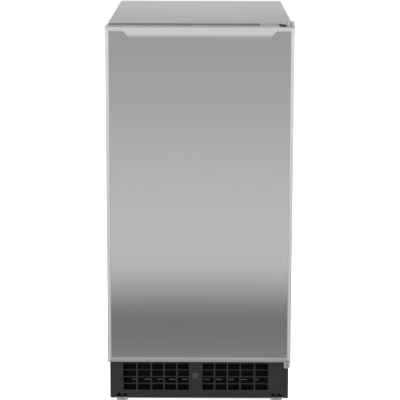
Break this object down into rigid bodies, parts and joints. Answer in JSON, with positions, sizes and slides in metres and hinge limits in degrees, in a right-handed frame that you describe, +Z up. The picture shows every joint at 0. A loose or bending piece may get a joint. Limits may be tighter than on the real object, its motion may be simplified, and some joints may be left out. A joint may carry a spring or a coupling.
{
  "type": "ice maker",
  "caption": "Slim undercounter ice maker with a brushed steel door, sloping lip handle, side hinges, dark front grille and levelling feet.",
  "frame": {"origin": "on the floor, in the middle of the object's box across and front to back", "axes": "+Z up, -Y out of the door's front, +X towards the hinge side"},
  "size_m": [0.381, 0.61, 0.813],
  "materials": {
    "brushed_stainless": "vertical brushed satin",
    "trim_metal": "bright satin",
    "painted_cabinet": "satin grey enamel",
    "galvanised": "satin",
    "base_steel": "satin",
    "foam": "matt",
    "liner_plastic": "satin",
    "grille_plastic": "matt",
    "hinge_steel": "satin",
    "pin_steel": "satin",
    "screw_steel": "satin",
    "gasket_rubber": "matt",
    "bush_nylon": "satin",
    "foot_steel": "satin",
    "compressor_black": "gloss",
    "black_rubber": "matt",
    "black_plastic": "matt",
    "condenser_black": "matt",
    "copper": "satin",
    "motor_steel": "satin",
    "brass_body": "satin",
    "white_plastic": "satin",
    "clear_tube": "satin",
    "drain_grey": "matt",
    "evaporator_steel": "satin",
    "wire_steel": "gloss",
    "plug_blue": "matt",
    "board_green": "satin",
    "lens_clear": "gloss",
    "button_grey": "satin",
    "scoop_plastic": "gloss"
  },
  "bodies": {
    "cabinet": {"cabinet_wrapper": "painted_cabinet", "rear_panel": "galvanised", "rear_service_cover": "galvanised", "base_pan": "base_steel", "cabinet_insulation": "foam", "inner_liner": "liner_plastic", "face_frame": "liner_plastic", "front_grille": "grille_plastic", "cabinet_screws": "hinge_steel", "top_hinge_bracket": "pin_steel", "bottom_hinge_bracket": "pin_steel", "hinge_pins": "pin_steel", "compressor": "compressor_black", "compressor_grommets": "black_rubber", "relay_box": "black_plastic", "condenser_fins": "condenser_black", "condenser_tubing": "condenser_black", "fan_shroud": "black_plastic", "fan_motor": "motor_steel", "filter_drier": "copper", "hot_gas_valve": "brass_body", "refrigerant_lines": "copper", "water_inlet_valve": "white_plastic", "water_fill_tube": "clear_tube", "drain_tube": "drain_grey", "drain_strainer": "white_plastic", "cord_gland": "black_plastic", "evaporator_plate": "evaporator_steel", "evaporator_coil": "copper", "water_distributor": "white_plastic", "pump_hose": "clear_tube", "water_pan": "white_plastic", "pump_motor": "white_plastic", "cutter_grid_frame": "white_plastic", "cutter_grid_wires": "wire_steel", "unit_rails": "galvanised", "splash_cover": "liner_plastic", "control_housing": "white_plastic", "control_board": "board_green", "light_lens": "lens_clear", "scoop_ledge": "liner_plastic"},
    "door": {"door_front_panel": "brushed_stainless", "door_side_trims": "trim_metal", "door_trim_top": "trim_metal", "door_trim_bottom": "trim_metal", "door_handle": "trim_metal", "door_insulation": "foam", "door_inner_liner": "liner_plastic", "door_gasket": "gasket_rubber", "door_bushings": "bush_nylon"},
    "fan": {"fan_blade": "black_plastic"},
    "pump_rotor": {"pump_impeller": "button_grey"},
    "power_button": {"power_button": "button_grey"},
    "clean_button": {"clean_button": "button_grey"},
    "scoop": {"ice_scoop": "scoop_plastic"},
    "drain_plug": {"pan_drain_plug": "plug_blue"},
    "foot_front_left": {"foot_front_left": "foot_steel"},
    "foot_front_right": {"foot_front_right": "foot_steel"},
    "foot_rear_left": {"foot_rear_left": "foot_steel"},
    "foot_rear_right": {"foot_rear_right": "foot_steel"}
  },
  "joints": [
    {"name": "door_hinge", "type": "hinge", "parent": "cabinet", "child": "door", "pos_m": [0.1825, -0.273, 0.123], "axis": [0, 0, 1], "range_deg": [0, 110]},
    {"name": "fan_spin", "type": "hinge", "parent": "cabinet", "child": "fan", "pos_m": [-0.058, -0.141, 0.057], "axis": [0, 1, 0], "continuous": true},
    {"name": "pump_spin", "type": "hinge", "parent": "cabinet", "child": "pump_rotor", "pos_m": [0.091, 0.21631, 0.4835], "axis": [0, 0, 1], "continuous": true},
    {"name": "power_press", "type": "slide", "parent": "cabinet", "child": "power_button", "axis": [0, 1, 0], "range_m": [0, 0.002], "stiffness_N_per_m": 300},
    {"name": "clean_press", "type": "slide", "parent": "cabinet", "child": "clean_button", "axis": [0, 1, 0], "range_m": [0, 0.002], "stiffness_N_per_m": 300},
    {"name": "scoop_lift", "type": "slide", "parent": "cabinet", "child": "scoop", "axis": [0, 0, 1], "range_m": [0, 0.025]},
    {"name": "plug_pull", "type": "slide", "parent": "cabinet", "child": "drain_plug", "axis": [0, 0, -1], "range_m": [0, 0.02]},
    {"name": "foot_front_left_screw", "type": "slide", "parent": "cabinet", "child": "foot_front_left", "axis": [0, 0, -1], "range_m": [0, 0.02]},
    {"name": "foot_front_right_screw", "type": "slide", "parent": "cabinet", "child": "foot_front_right", "axis": [0, 0, -1], "range_m": [0, 0.02]},
    {"name": "foot_rear_left_screw", "type": "slide", "parent": "cabinet", "child": "foot_rear_left", "axis": [0, 0, -1], "range_m": [0, 0.02]},
    {"name": "foot_rear_right_screw", "type": "slide", "parent": "cabinet", "child": "foot_rear_right", "axis": [0, 0, -1], "range_m": [0, 0.02]}
  ]
}
